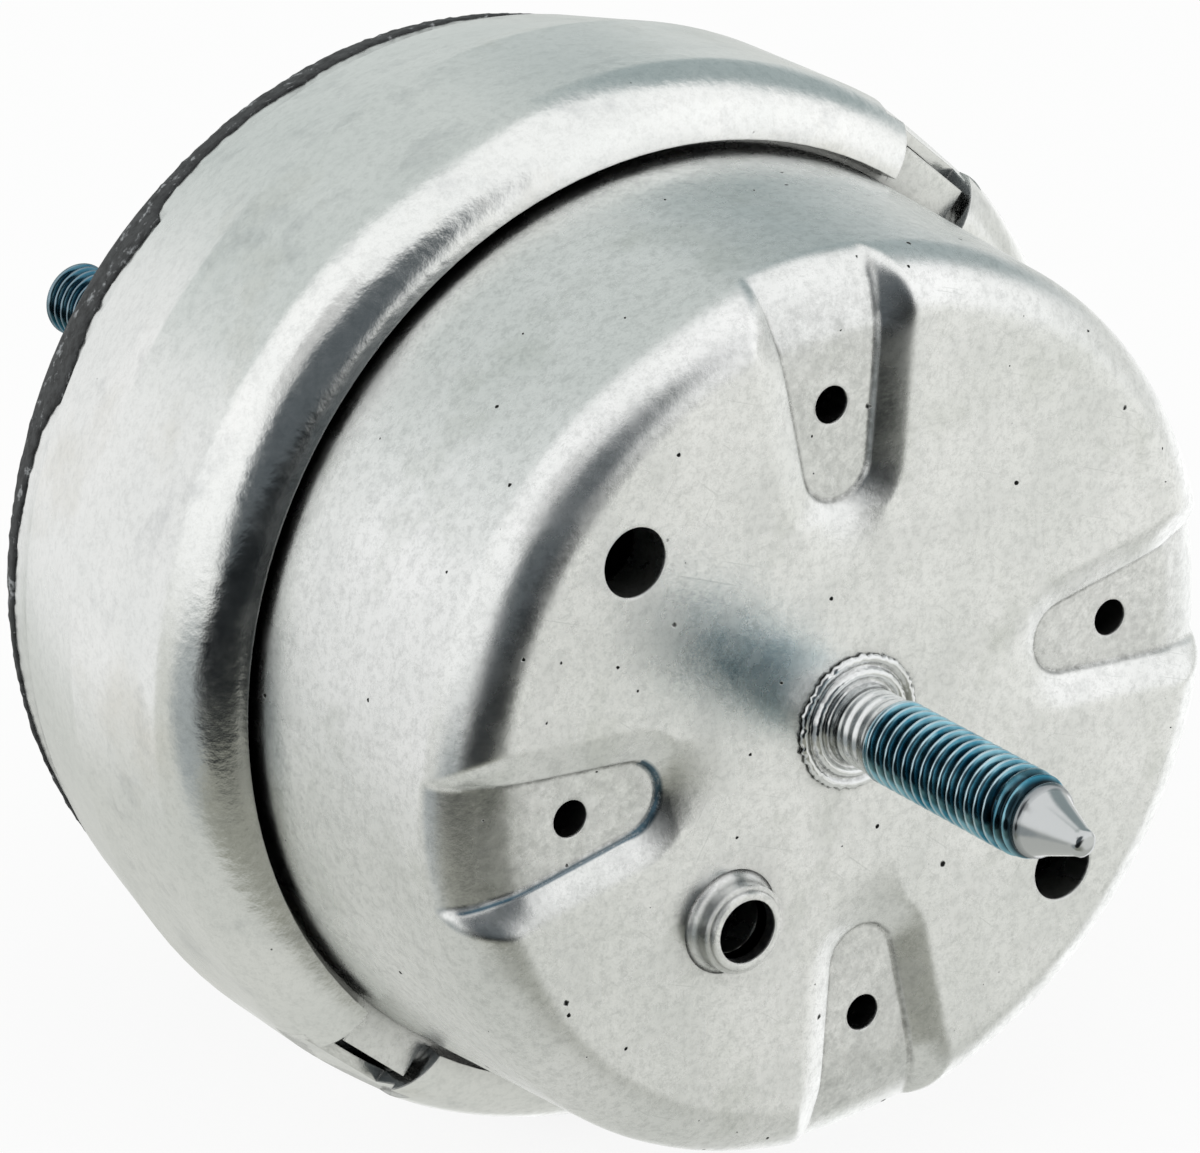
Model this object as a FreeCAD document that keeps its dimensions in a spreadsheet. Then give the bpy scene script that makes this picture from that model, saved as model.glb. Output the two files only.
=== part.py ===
import FreeCAD, Part
import math
import os
import Sketcher

# Hydraulic engine mount lying on its side. Y is the axis that both studs share: the mounting
# face of the base is the plane y = 0, looking along -Y, and the engine side is along +Y.
# X is across and Z is up. Lengths are millimetres and angles are degrees, counted round the
# axis from +Z towards +X.

sizes = {
    # outer shell: a drawn can, its front rim rolled over the flange of the base
    "shellRadius": 51.5,
    "shellWall": 2.0,
    "crimpRadius": 6.6,
    "crimpCentre": 35.3,
    "crimpTurn": 85.0,
    "waistStart": 49.0,
    "waistLength": 12.4,
    "waistDrop": 2.5,
    "waistBlend": 3.0,
    "stepLength": 1.0,
    "stepDrop": 0.5,
    "landLength": 5.0,
    "landDrop": 1.2,
    # notches in the rolled rim, each around a lug of the base
    "notchCount": 2,
    "notchAngle": 45.0,
    "notchWidth": 10.2,
    "notchFloor": 34.4,
    "bevelWidth": 15.0,
    "bevelDepth": 1.05,
    "bevelLength": 3.6,
    "lugWidth": 8.6,
    "lugClear": 0.9,
    "slitFloor": 0.8,
    # base cup: die cast, its flat end is the mounting face
    "cupRimStep": 0.2,
    "cupDraft": 2.25,
    "cupCorner": 5.6,
    "cupEndWall": 4.8,
    "cupSideWall": 4.0,
    "cupInnerCorner": 2.8,
    "flangeStraight": 2.6,
    "rimWidth": 2.8,
    "grooveLip": 3.3,
    "grooveWidth": 3.6,
    "grooveDepth": 2.6,
    "seatRadius": 10.5,
    "seatHeight": 3.2,
    # recessed pads in the mounting face
    "padCount": 4,
    "padDepth": 1.4,
    "padSpread": 8.3,
    "padEndCentre": 24.5,
    "padBend": 34.0,
    "padFall": 2.6,
    "padFallLength": 8.5,
    "shoulderWidth": 3.0,
    "shoulderDepth": 0.9,
    "padHoleCircle": 30.0,
    "padHoleRadius": 1.75,
    # two vents and one hollow locating dowel
    "ventCount": 2,
    "ventCircle": 31.75,
    "ventAngle": -45.0,
    "ventRadius": 3.2,
    "dowelCircle": 21.0,
    "dowelAngle": -135.0,
    "dowelHeight": 2.2,
    "dowelRadius": 4.2,
    "dowelStep": 0.4,
    "dowelStepWidth": 0.5,
    "dowelBore": 3.0,
    "dowelRoot": 1.0,
    # base stud, pressed through the base from inside
    "studRadius": 3.93,
    "studNeckRadius": 3.5,
    "studNeck": 5.9,
    "studThreadEnd": 24.2,
    "studReach": 32.2,
    "studTipRadius": 1.15,
    "threadRelief": 0.4,
    "collarRadius": 6.0,
    "collarRise": 0.4,
    "collarRing": 4.7,
    "collarRingRise": 0.35,
    "headRadius": 8.4,
    "headHeight": 2.6,
    # core and the stud and pin on its seat
    "coreNose": 66.0,
    "coreNoseRadius": 9.0,
    "coreNoseLength": 16.0,
    "coreWideRadius": 23.5,
    "coreBandLength": 4.0,
    "coreBandDrop": 1.5,
    "coreTaperLength": 8.0,
    "coreNeckLength": 8.4,
    "coreSeatRadius": 16.0,
    "coreEdge": 1.0,
    "coreStudReach": 33.8,
    "coreStudNeck": 3.0,
    "coreStudRoot": 22.0,
    "coreStudRootRadius": 4.6,
    "coreStudChamfer": 1.0,
    "pinCircle": 11.0,
    "pinAngle": -135.0,
    "pinRadius": 2.0,
    "pinWall": 0.6,
    "pinReach": 5.0,
    "pinRoot": 9.0,
    "pinSlot": 0.8,
    # main spring: rubber bonded to the shell and to the core
    "springFootWidth": 9.0,
    "springFootHeight": 3.0,
    "springSkin": 2.0,
    "springHipDrop": 7.6,
    "springHipReach": 3.5,
    "beadReach": 4.4,
    "beadLap": 0.7,
    "beadTopDrop": 0.7,
    "beadTopWidth": 1.6,
    "beadSide": 1.2,
    "valleyDepth": 3.6,
    "valleyDrop": 6.8,
    "springTopDrop": 1.0,
    "springTopReach": 3.5,
    # track plates, clamped between the base and the foot of the spring
    "plateClear": 0.3,
    "lowerPlate": 3.0,
    "upperPlate": 7.0,
    "trackInset": 7.2,
    "trackWidth": 9.0,
    "trackDepth": 5.0,
    "trackSweep": 320.0,
    "portSweep": 14.0,
    "cageRadius": 23.0,
    "cageDepth": 3.2,
    "grilleCount": 6,
    "grilleCircle": 14.0,
    "grilleRadius": 4.2,
    "grilleCentreRadius": 5.0,
    # decoupler membrane, loose in its cage
    "decouplerPlay": 0.15,
    "decouplerClear": 0.8,
    # rolling diaphragm and the ring in its bead
    "diaphragmWall": 1.5,
    "rollClear": 1.05,
    "rollWidth": 10.4,
    "rollBottom": 19.0,
    "domeTop": 30.0,
    "rollBevel": 3.0,
    "ringMargin": 0.8,
    "ringHeight": 1.0,
}

doc = FreeCAD.newDocument("EngineMount")
sheet = doc.addObject("Spreadsheet::Sheet", "Sizes")
for row, (alias, value) in enumerate(sizes.items(), start=1):
    sheet.set("A%d" % row, alias)
    sheet.set("B%d" % row, str(value))
    sheet.setAlias("B%d" % row, alias)
doc.recompute()


class Dim:
    # a length that knows its number and the expression which ties it to the sheet

    def __init__(self, number, formula):
        self.number = number
        self.formula = formula

    def join(self, sign, other, number):
        return Dim(number, "(%s %s %s)" % (self.formula, sign, asDim(other).formula))

    def __add__(self, other):
        return self.join("+", other, self.number + asDim(other).number)

    def __sub__(self, other):
        return self.join("-", other, self.number - asDim(other).number)

    def __mul__(self, other):
        return self.join("*", other, self.number * asDim(other).number)

    def __truediv__(self, other):
        return self.join("/", other, self.number / asDim(other).number)


def asDim(value):
    return value if isinstance(value, Dim) else Dim(float(value), repr(float(value)))


def size(alias):
    return Dim(float(sheet.get(alias)), "Sizes." + alias)


def sine(angle):
    return Dim(math.sin(math.radians(angle.number)), "sin(%s * 1 deg)" % angle.formula)


def cosine(angle):
    return Dim(math.cos(math.radians(angle.number)), "cos(%s * 1 deg)" % angle.formula)


def polar(radius, angle):
    # a place on the XZ sketch plane, at this radius and angle round the axis
    return (radius * sine(angle), radius * cosine(angle))


def newBody(label):
    body = doc.addObject("PartDesign::Body", label)
    body.Label = label
    return body


def originFeature(body, role):
    for feature in body.Origin.OriginFeatures:
        if feature.Role == role:
            return feature
    raise RuntimeError("no " + role)


def newSketch(body, name, plane, shift=None):
    # shift moves the sketch along +Y when it lies on the XZ plane, whose normal is -Y
    sketch = body.newObject("Sketcher::SketchObject", name)
    sketch.AttachmentSupport = [(originFeature(body, plane), "")]
    sketch.MapMode = "FlatFace"
    if shift is not None:
        sketch.setExpression("AttachmentOffset.Base.z", "-(%s)" % asDim(shift).formula)
    doc.recompute()
    return sketch


def tie(sketch, kind, places, length):
    index = sketch.addConstraint(Sketcher.Constraint(kind, *places, length.number))
    sketch.setExpression("Constraints[%d]" % index, length.formula)


def pin(sketch, geometry, end, point):
    # fixes one end of a line or arc, or a centre, at a point of the sketch
    for kind, axis, value in (("DistanceX", -2, point[0]), ("DistanceY", -1, point[1])):
        if isinstance(value, Dim):
            tie(sketch, kind, (-1, 1, geometry, end), value)
        else:
            sketch.addConstraint(Sketcher.Constraint("PointOnObject", geometry, end, axis))


def vector(point):
    return FreeCAD.Vector(asDim(point[0]).number, asDim(point[1]).number, 0)


def arcBetween(start, finish, centre):
    # the short way round the centre; sketch arcs always run anticlockwise
    first = math.atan2(start.y - centre.y, start.x - centre.x)
    last = math.atan2(finish.y - centre.y, finish.x - centre.x)
    if (last - first) % (2 * math.pi) > math.pi:
        first, last = last, first
    whole = Part.Circle(centre, FreeCAD.Vector(0, 0, 1), (start - centre).Length)
    return Part.ArcOfCircle(whole, first, last)


def outline(sketch, points):
    # a closed profile of lines; a point that also has a centre and a radius starts an arc
    count = len(points)
    for index, point in enumerate(points):
        start = vector(point)
        finish = vector(points[(index + 1) % count])
        if len(point) == 4:
            sketch.addGeometry(arcBetween(start, finish, vector(point[2])), False)
        else:
            sketch.addGeometry(Part.LineSegment(start, finish), False)
    for index, point in enumerate(points):
        following = (index + 1) % count
        ends = []
        for number, first in ((index, False), (following, True)):
            geometry = sketch.Geometry[number]
            wanted = vector(points[following])
            startGap = (geometry.StartPoint - wanted).Length
            ends.append(1 if startGap < (geometry.EndPoint - wanted).Length else 2)
        sketch.addConstraint(Sketcher.Constraint("Coincident", index, ends[0], following, ends[1]))
        pin(sketch, following, ends[1], points[following])
        if len(point) == 4:
            tie(sketch, "Radius", (index,), point[3])
    doc.recompute()


def circle(sketch, centre, radius):
    index = sketch.addGeometry(Part.Circle(vector(centre), FreeCAD.Vector(0, 0, 1),
                                           radius.number), False)
    pin(sketch, index, 3, centre)
    tie(sketch, "Radius", (index,), radius)
    doc.recompute()


def revolve(body, name, points):
    # turns an outline of (radius, y) places fully round the axis
    sketch = newSketch(body, name + "Profile", "XY_Plane")
    outline(sketch, points)
    feature = body.newObject("PartDesign::Revolution", name)
    feature.Profile = sketch
    feature.ReferenceAxis = (sketch, ["V_Axis"])
    feature.Angle = 360
    sketch.Visibility = False
    doc.recompute()
    return feature


def turnCut(body, name, points, sweep, plane="YZ_Plane"):
    # removes an outline of (y, radius) places swept equally to both sides of +Z
    sketch = newSketch(body, name + "Profile", plane)
    outline(sketch, points)
    feature = body.newObject("PartDesign::Groove", name)
    feature.Profile = sketch
    feature.ReferenceAxis = (sketch, ["H_Axis"])
    feature.Midplane = True
    feature.setExpression("Angle", sweep.formula)
    sketch.Visibility = False
    checkCut(body, feature)
    return feature


def pocket(body, name, sketch, depth=None):
    # cuts along +Y from the sketch, to a depth or right through
    feature = body.newObject("PartDesign::Pocket", name)
    feature.Profile = sketch
    if depth is None:
        feature.Type = "ThroughAll"
    else:
        feature.setExpression("Length", depth.formula)
    sketch.Visibility = False
    checkCut(body, feature)
    return feature


def checkCut(body, feature):
    doc.recompute()
    before = feature.BaseFeature.Shape.Volume
    if not feature.Shape.Volume < before:
        raise RuntimeError(feature.Name + " cuts nothing")


def pad(body, name, sketch, length, reverse=False):
    # adds material along -Y from the sketch, or along +Y when reversed
    feature = body.newObject("PartDesign::Pad", name)
    feature.Profile = sketch
    feature.Reversed = reverse
    feature.setExpression("Length", length.formula)
    sketch.Visibility = False
    doc.recompute()
    return feature


def repeatRound(body, name, originals, count):
    feature = body.newObject("PartDesign::PolarPattern", name)
    feature.Originals = originals
    feature.Axis = (originFeature(body, "Y_Axis"), [""])
    feature.Angle = 360
    feature.setExpression("Occurrences", count.formula)
    body.Tip = feature
    doc.recompute()
    return feature


def ringEdges(feature, places):
    # names of the full circles round the axis at these (radius, y) places
    names = []
    for place in places:
        radius = asDim(place[0]).number
        level = asDim(place[1]).number
        for index, edge in enumerate(feature.Shape.Edges, start=1):
            curve = edge.Curve
            if curve.TypeId != "Part::GeomCircle":
                continue
            if abs(curve.Radius - radius) < 0.01 and abs(curve.Center.y - level) < 0.01:
                names.append("Edge%d" % index)
    if len(names) < len(places):
        raise RuntimeError("edges missing on " + feature.Name)
    return names


def roundEdges(body, name, base, places, radius):
    feature = body.newObject("PartDesign::Fillet", name)
    feature.Base = (base, ringEdges(base, places))
    feature.setExpression("Radius", radius.formula)
    doc.recompute()
    return feature


def bevelEdges(body, name, base, places, width):
    feature = body.newObject("PartDesign::Chamfer", name)
    feature.Base = (base, ringEdges(base, places))
    feature.setExpression("Size", width.formula)
    doc.recompute()
    return feature


axis = 0

shellInner = size("shellRadius") - size("shellWall")
crimpAxis = size("shellRadius") - size("crimpRadius")
crimpCentre = (crimpAxis, size("crimpCentre"))
crimpInside = size("crimpRadius") - size("shellWall")
flangeFront = size("crimpCentre") - crimpInside
flangeBack = size("crimpCentre") + size("flangeStraight")
waistEnd = size("waistStart") + size("waistLength")
landStart = waistEnd + size("stepLength")
shellBack = landStart + size("landLength")
waistRadius = size("shellRadius") - size("waistDrop")
landRadius = waistRadius - size("stepDrop")
backRadius = landRadius - size("landDrop")
waistInner = waistRadius - size("shellWall")
landInner = landRadius - size("shellWall")
backInner = backRadius - size("shellWall")
cupRim = crimpAxis - size("cupRimStep")
cupFace = cupRim - size("cupDraft")
cupInside = cupFace - size("cupSideWall")
lugEnd = shellInner - size("lugClear")
grooveOuter = shellInner - size("grooveLip")
grooveInner = grooveOuter - size("grooveWidth")
plateMiddle = flangeBack + size("lowerPlate")
plateTop = plateMiddle + size("upperPlate")
plateRadius = shellInner - size("plateClear")
trackOuter = plateRadius - size("trackInset")
trackInner = trackOuter - size("trackWidth")
rollOuter = cupInside - size("rollClear")
rollInner = rollOuter - size("rollWidth")
coreWide = size("coreNose") + size("coreNoseLength")
coreShoulder = coreWide + size("coreBandLength")
coreShoulderRadius = size("coreWideRadius") - size("coreBandDrop")
coreNeck = coreShoulder + size("coreTaperLength")
coreSeat = coreNeck + size("coreNeckLength")


def makeOuterShell():
    body = newBody("outer_shell")
    cosTurn = cosine(size("crimpTurn"))
    sinTurn = sine(size("crimpTurn"))
    lipOuter = (crimpAxis + size("crimpRadius") * cosTurn,
                size("crimpCentre") - size("crimpRadius") * sinTurn,
                crimpCentre, size("crimpRadius"))
    lipInner = (crimpAxis + crimpInside * cosTurn, size("crimpCentre") - crimpInside * sinTurn)
    can = revolve(body, "Can", [
        lipOuter,
        (size("shellRadius"), size("crimpCentre")),
        (size("shellRadius"), size("waistStart")),
        (waistRadius, waistEnd),
        (landRadius, landStart),
        (backRadius, shellBack),
        (backInner, shellBack),
        (landInner, landStart),
        (waistInner, waistEnd),
        (shellInner, size("waistStart")),
        (shellInner, size("crimpCentre"), crimpCentre, crimpInside),
        lipInner,
    ])
    roundEdges(body, "Waist", can, [(size("shellRadius"), size("waistStart"))],
               size("waistBlend"))
    sketch = newSketch(body, "NotchOutline", "XZ_Plane")
    slot(sketch, crimpAxis - size("shellWall"), size("shellRadius") + size("shellWall"),
         size("notchWidth"), size("notchAngle"))
    notch = pocket(body, "Notch", sketch, size("notchFloor"))

    # the wall behind each notch is pressed in, which leaves a sloping flat on the outside
    bevelEnd = size("notchFloor") + size("bevelLength")
    front = size("crimpCentre") - size("crimpRadius") * sine(size("crimpTurn")) / 2
    slope = size("bevelDepth") / size("bevelLength")
    sections = []
    for name, level in (("BevelFront", front), ("BevelBack", bevelEnd)):
        sketch = newSketch(body, name, "XZ_Plane", level)
        inner = size("shellRadius") - (bevelEnd - level) * slope
        slot(sketch, inner, size("shellRadius") + size("shellWall"), size("bevelWidth"),
             size("notchAngle"))
        sketch.Visibility = False
        sections.append(sketch)
    bevel = body.newObject("PartDesign::SubtractiveLoft", "Bevel")
    bevel.Profile = sections[0]
    bevel.Sections = [sections[1]]
    bevel.Ruled = True
    checkCut(body, bevel)
    repeatRound(body, "Notches", [notch, bevel], size("notchCount"))
    return body


def slot(sketch, inner, outer, width, angle):
    # a rectangle along the radius at an angle round the axis
    corners = []
    for radius, side in ((inner, -0.5), (outer, -0.5), (outer, 0.5), (inner, 0.5)):
        along = polar(radius, angle)
        across = width * side
        corners.append((along[0] + across * cosine(angle), along[1] - across * sine(angle)))
    outline(sketch, corners)


def makeBaseCup():
    body = newBody("base_cup")
    floor = size("cupEndWall")
    rimInner = grooveInner - size("rimWidth")
    rimBack = flangeBack - size("diaphragmWall")
    grooveFloor = flangeBack - size("grooveDepth")
    seatBack = floor + size("seatHeight")
    casting = revolve(body, "Casting", [
        (size("collarRadius"), axis),
        (cupFace, axis),
        (cupRim, flangeFront),
        (crimpAxis, flangeFront, crimpCentre, crimpInside),
        (shellInner, size("crimpCentre")),
        (shellInner, flangeBack),
        (grooveOuter, flangeBack),
        (grooveOuter, grooveFloor),
        (grooveInner, grooveFloor),
        (grooveInner, rimBack),
        (rimInner, rimBack),
        (cupInside, floor + size("cupInnerCorner")),
        (cupInside - size("cupInnerCorner"), floor),
        (size("seatRadius"), floor),
        (size("seatRadius"), seatBack),
        (size("collarRadius"), seatBack),
    ])
    roundEdges(body, "Corner", casting, [(cupFace, axis)], size("cupCorner"))

    sketch = newSketch(body, "LugOutline", "XZ_Plane", flangeFront)
    slot(sketch, cupRim - size("cupSideWall") / 2, lugEnd + size("lugClear") / 2,
         size("lugWidth"), size("notchAngle"))
    lug = pad(body, "Lug", sketch, size("crimpCentre") - flangeFront, True)
    repeatRound(body, "Lugs", [lug], size("notchCount"))

    sketch = newSketch(body, "SlitOutline", "XZ_Plane")
    slot(sketch, lugEnd, size("shellRadius"), size("notchWidth"), size("notchAngle"))
    slit = pocket(body, "Slit", sketch, flangeBack - size("slitFloor"))
    repeatRound(body, "Slits", [slit], size("notchCount"))

    makePads(body)

    sketch = newSketch(body, "VentOutline", "XZ_Plane")
    circle(sketch, polar(size("ventCircle"), size("ventAngle")), size("ventRadius"))
    vent = pocket(body, "Vent", sketch)
    repeatRound(body, "Vents", [vent], size("ventCount"))

    dowelPlace = polar(size("dowelCircle"), size("dowelAngle"))
    sketch = newSketch(body, "DowelOutline", "XZ_Plane")
    circle(sketch, dowelPlace, size("dowelRadius"))
    dowel = pad(body, "Dowel", sketch, size("dowelHeight"))
    names = []
    for index, edge in enumerate(dowel.Shape.Edges, start=1):
        if edge.Curve.TypeId != "Part::GeomCircle":
            continue
        atRoot = abs(edge.Curve.Center.y) < 0.01
        if atRoot and abs(edge.Curve.Radius - size("dowelRadius").number) < 0.01:
            names.append("Edge%d" % index)
    foot = body.newObject("PartDesign::Fillet", "DowelFoot")
    foot.Base = (dowel, names)
    foot.setExpression("Radius", size("dowelRoot").formula)
    doc.recompute()
    sketch = newSketch(body, "DowelStepOutline", "XZ_Plane", size("dowelHeight") * -1)
    circle(sketch, dowelPlace, size("dowelRadius") - size("dowelStepWidth"))
    pad(body, "DowelStep", sketch, size("dowelStep"))
    sketch = newSketch(body, "DowelBoreOutline", "XZ_Plane",
                       (size("dowelHeight") + size("dowelStep")) * -1)
    circle(sketch, dowelPlace, size("dowelBore"))
    pocket(body, "DowelBore", sketch)
    return body


def makePads(body):
    # each pad: a soft shoulder, then a floor with radial sides and a round inner end, which
    # falls away towards the corner of the cup, and a small hole
    spread = size("padSpread")
    endRadius = size("padEndCentre") * sine(spread)
    reach = cupFace + size("cupCorner")
    cosSpread = cosine(spread)
    sinSpread = sine(spread)

    def padOutline(name, shift, margin):
        radius = endRadius + margin
        sketch = newSketch(body, name, "XZ_Plane", shift)
        tangentAcross = radius * cosSpread
        tangentAlong = size("padEndCentre") - radius * sinSpread
        farAcross = tangentAcross + (reach - tangentAlong) * sinSpread / cosSpread
        outline(sketch, [
            (tangentAcross * -1, tangentAlong, (axis, size("padEndCentre")), radius),
            (tangentAcross, tangentAlong),
            (farAcross, reach),
            (farAcross * -1, reach),
        ])
        return sketch

    top = padOutline("ShoulderTop", size("shoulderDepth") * 0, size("shoulderWidth"))
    bottom = padOutline("ShoulderBottom", size("shoulderDepth"), size("shoulderDepth") * 0)
    shoulder = body.newObject("PartDesign::SubtractiveLoft", "Shoulder")
    shoulder.Profile = top
    shoulder.Sections = [bottom]
    shoulder.Ruled = True
    top.Visibility = False
    bottom.Visibility = False
    checkCut(body, shoulder)

    slope = size("padFall") / size("padFallLength")
    farDepth = size("padDepth") + (reach - size("padBend")) * slope
    floor = turnCut(body, "PadFloor", [
        (size("padDepth"), size("padEndCentre") * cosSpread * cosSpread),
        (size("padDepth"), size("padBend")),
        (farDepth, reach),
        (size("padDepth") * -1, reach),
        (size("padDepth") * -1, size("padEndCentre") * cosSpread * cosSpread),
    ], spread * 2)

    sketch = newSketch(body, "PadEndOutline", "XZ_Plane")
    circle(sketch, (axis, size("padEndCentre")), endRadius)
    end = pocket(body, "PadEnd", sketch, size("padDepth"))

    sketch = newSketch(body, "PadHoleOutline", "XZ_Plane")
    circle(sketch, (axis, size("padHoleCircle")), size("padHoleRadius"))
    hole = pocket(body, "PadHole", sketch)
    repeatRound(body, "Pads", [shoulder, floor, end, hole], size("padCount"))


def makeBaseStud():
    body = newBody("base_stud")
    front = size("collarRise") * -1
    headFront = size("cupEndWall") + size("seatHeight")
    revolve(body, "Turned", [
        (axis, size("studReach") * -1),
        (size("studTipRadius"), size("studReach") * -1),
        (size("studNeckRadius"), (size("studThreadEnd") + size("threadRelief") / 2) * -1),
        (size("studRadius"), size("studThreadEnd") * -1),
        (size("studRadius"), size("studNeck") * -1),
        (size("studNeckRadius"), (size("studNeck") - size("threadRelief")) * -1),
        (size("studNeckRadius"), front - size("collarRingRise")),
        (size("collarRing"), front - size("collarRingRise")),
        (size("collarRing"), front),
        (size("collarRadius"), front),
        (size("collarRadius"), headFront),
        (size("headRadius"), headFront),
        (size("headRadius"), headFront + size("headHeight")),
        (axis, headFront + size("headHeight")),
    ])
    return body


def makeCore():
    body = newBody("core")
    casting = revolve(body, "Forging", [
        (axis, size("coreNose")),
        (size("coreNoseRadius"), size("coreNose")),
        (size("coreWideRadius"), coreWide),
        (coreShoulderRadius, coreShoulder),
        (size("coreSeatRadius"), coreNeck),
        (size("coreSeatRadius"), coreSeat),
        (size("coreStudRootRadius"), coreSeat),
        (size("coreStudRootRadius"), coreSeat - size("coreStudRoot")),
        (axis, coreSeat - size("coreStudRoot")),
    ])
    bevelEdges(body, "SeatEdge", casting, [(size("coreSeatRadius"), coreSeat)],
               size("coreEdge"))
    sketch = newSketch(body, "PinHoleOutline", "XZ_Plane", coreSeat - size("pinRoot"))
    circle(sketch, polar(size("pinCircle"), size("pinAngle")), size("pinRadius"))
    pocket(body, "PinHole", sketch, size("pinRoot"))
    return body


def makeCoreStud():
    body = newBody("core_stud")
    seat = coreSeat
    tip = seat + size("coreStudReach")
    root = seat - size("coreStudRoot")
    revolve(body, "Turned", [
        (axis, root),
        (size("coreStudRootRadius"), root),
        (size("coreStudRootRadius"), seat),
        (size("studNeckRadius"), seat),
        (size("studNeckRadius"), seat + size("coreStudNeck")),
        (size("studRadius"), seat + size("coreStudNeck") + size("threadRelief")),
        (size("studRadius"), tip - size("coreStudChamfer")),
        (size("studRadius") - size("coreStudChamfer"), tip),
        (axis, tip),
    ])
    return body


def makeCorePin():
    # a slotted spring pin
    body = newBody("core_pin")
    place = polar(size("pinCircle"), size("pinAngle"))
    foot = coreSeat - size("pinRoot")
    sketch = newSketch(body, "PinOutline", "XZ_Plane", foot)
    circle(sketch, place, size("pinRadius"))
    pad(body, "Rolled", sketch, size("pinRoot") + size("pinReach"), True)
    sketch = newSketch(body, "PinBoreOutline", "XZ_Plane", foot)
    circle(sketch, place, size("pinRadius") - size("pinWall"))
    pocket(body, "PinBore", sketch)
    sketch = newSketch(body, "PinSlotOutline", "XZ_Plane", foot)
    slot(sketch, size("pinCircle"), size("pinCircle") + size("pinRadius") * 2,
         size("pinSlot"), size("pinAngle"))
    pocket(body, "PinGap", sketch)
    return body


def makeMainSpring():
    body = newBody("main_spring")
    footInner = shellInner - size("springFootWidth")
    footTop = plateTop + size("springFootHeight")
    hipRadius = size("coreWideRadius") + size("springHipReach")
    beadTop = shellBack + size("beadReach")
    beadTopRadius = backInner - size("beadTopDrop")
    revolve(body, "Rubber", [
        (axis, size("coreNose") - size("springSkin")),
        (size("coreNoseRadius") + size("springSkin") / 2, size("coreNose") - size("springSkin")),
        (hipRadius, size("coreNose") - size("springHipDrop")),
        (footInner, footTop),
        (footInner, plateTop),
        (shellInner, plateTop),
        (shellInner, size("waistStart")),
        (waistInner, waistEnd),
        (landInner, landStart),
        (backInner, shellBack),
        (backInner + size("beadLap"), shellBack),
        (backInner + size("beadLap"), shellBack + size("beadSide")),
        (beadTopRadius, beadTop),
        (beadTopRadius - size("beadTopWidth"), beadTop),
        (backInner - size("valleyDrop"), beadTop - size("valleyDepth")),
        (coreShoulderRadius + size("springTopReach"), coreShoulder - size("springTopDrop")),
        (coreShoulderRadius, coreShoulder),
        (size("coreWideRadius"), coreWide),
        (size("coreNoseRadius"), size("coreNose")),
        (axis, size("coreNose")),
    ])
    return body


def sectorOutline(sketch, inner, outer, start, sweep):
    # an arc-ended sector from one angle, spanning a sweep towards +X
    finish = start + sweep
    innerArc = sketch.addGeometry(sectorArc(inner, start, finish), False)
    outerArc = sketch.addGeometry(sectorArc(outer, start, finish), False)
    for arc, radius in ((innerArc, inner), (outerArc, outer)):
        sketch.addConstraint(Sketcher.Constraint("Coincident", arc, 3, -1, 1))
        tie(sketch, "Radius", (arc,), radius)
    for end, angle in ((1, finish), (2, start)):
        place = [polar(inner, angle), polar(outer, angle)]
        line = sketch.addGeometry(Part.LineSegment(vector(place[0]), vector(place[1])), False)
        sketch.addConstraint(Sketcher.Constraint("Coincident", line, 1, innerArc, end))
        sketch.addConstraint(Sketcher.Constraint("Coincident", line, 2, outerArc, end))
        sketch.addConstraint(Sketcher.Constraint("PointOnObject", -1, 1, line))
        tie(sketch, "DistanceX", (-1, 1, line, 2), place[1][0])
    doc.recompute()


def sectorArc(radius, start, finish):
    # sketch arcs run anticlockwise, against the way the angles are counted
    whole = Part.Circle(FreeCAD.Vector(0, 0, 0), FreeCAD.Vector(0, 0, 1), radius.number)
    first = math.radians(90 - finish.number)
    last = math.radians(90 - start.number)
    return Part.ArcOfCircle(whole, first, last)


def cutGrille(body, shift, depth):
    sketch = newSketch(body, "GrilleOutline", "XZ_Plane", shift)
    circle(sketch, (axis, size("grilleCircle")), size("grilleRadius"))
    hole = pocket(body, "GrilleHole", sketch, depth)
    repeatRound(body, "Grille", [hole], size("grilleCount"))
    sketch = newSketch(body, "GrilleCentreOutline", "XZ_Plane", shift)
    circle(sketch, (axis, axis), size("grilleCentreRadius"))
    pocket(body, "GrilleCentre", sketch, depth)


def makeLowerTrackPlate():
    body = newBody("lower_track_plate")
    revolve(body, "Disc", [
        (axis, flangeBack),
        (plateRadius, flangeBack),
        (plateRadius, plateMiddle),
        (axis, plateMiddle),
    ])
    cutGrille(body, flangeBack, size("lowerPlate"))
    sketch = newSketch(body, "PortOutline", "XZ_Plane", flangeBack)
    sectorOutline(sketch, trackInner, trackOuter,
                  size("trackSweep") / -2, size("portSweep"))
    pocket(body, "Port", sketch, size("lowerPlate"))
    return body


def makeUpperTrackPlate():
    body = newBody("upper_track_plate")
    cageTop = plateMiddle + size("cageDepth")
    revolve(body, "Disc", [
        (axis, cageTop),
        (size("cageRadius"), cageTop),
        (size("cageRadius"), plateMiddle),
        (plateRadius, plateMiddle),
        (plateRadius, plateTop),
        (axis, plateTop),
    ])
    cutGrille(body, cageTop, size("upperPlate") - size("cageDepth"))
    turnCut(body, "Track", [
        (plateMiddle, trackInner),
        (plateMiddle + size("trackDepth"), trackInner),
        (plateMiddle + size("trackDepth"), trackOuter),
        (plateMiddle, trackOuter),
    ], size("trackSweep"))
    sketch = newSketch(body, "PortOutline", "XZ_Plane", plateMiddle)
    sectorOutline(sketch, trackInner, trackOuter,
                  size("trackSweep") / 2 - size("portSweep"), size("portSweep"))
    pocket(body, "Port", sketch, size("upperPlate"))
    return body


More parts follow.
